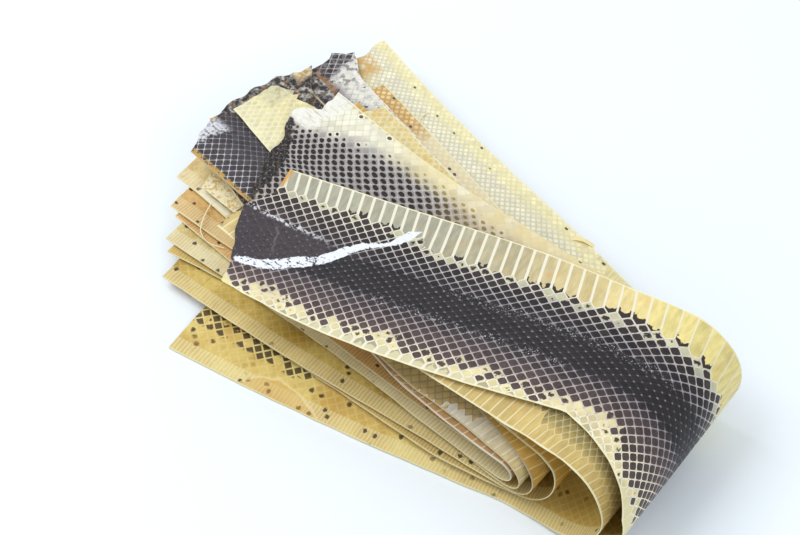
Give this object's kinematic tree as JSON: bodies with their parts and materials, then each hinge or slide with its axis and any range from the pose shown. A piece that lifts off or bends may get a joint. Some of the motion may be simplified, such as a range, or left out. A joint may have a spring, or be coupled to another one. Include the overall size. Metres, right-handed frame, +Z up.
{
  "type": "folded bundle of snake skins",
  "caption": "Dried split-open snake skins laid on each other like ribbons, fanned out and folded over together, resting flat on the lowest skin.",
  "frame": {"origin": "middle of the bundle's footprint, on the surface that it rests on", "axes": "+X towards the fold, -X towards the fanned loose ends, +Z up; the picture is taken from the -Y side"},
  "size_m": [0.3458, 0.2394, 0.0677],
  "materials": {
    "top_skin": "dry dark brown scales with a cream net and a pale belly edge, satin",
    "second_skin": "dry grey-lilac scales with black spots, golden flesh side, satin",
    "third_skin": "dry pale yellow scales, golden brown flesh side, satin",
    "fourth_skin": "dry dark net of scales, golden brown flesh side, satin",
    "fifth_skin": "dry tan scales with a dark ragged end, silvery belly plates, satin",
    "sixth_skin": "dry dark brown scales with a white flank, satin",
    "seventh_skin": "dry orange-tan scales with a white net, satin",
    "eighth_skin": "dry pale yellow translucent scales, satin",
    "inner_skin": "dry pale yellow-tan skin, satin"
  },
  "bodies": {
    "root": {"top_skin": "top_skin", "second_skin": "second_skin", "third_skin": "third_skin", "fourth_skin": "fourth_skin", "fifth_skin": "fifth_skin", "sixth_skin": "sixth_skin", "seventh_skin": "seventh_skin", "eighth_skin": "eighth_skin", "inner_skin": "inner_skin"}
  },
  "joints": []
}
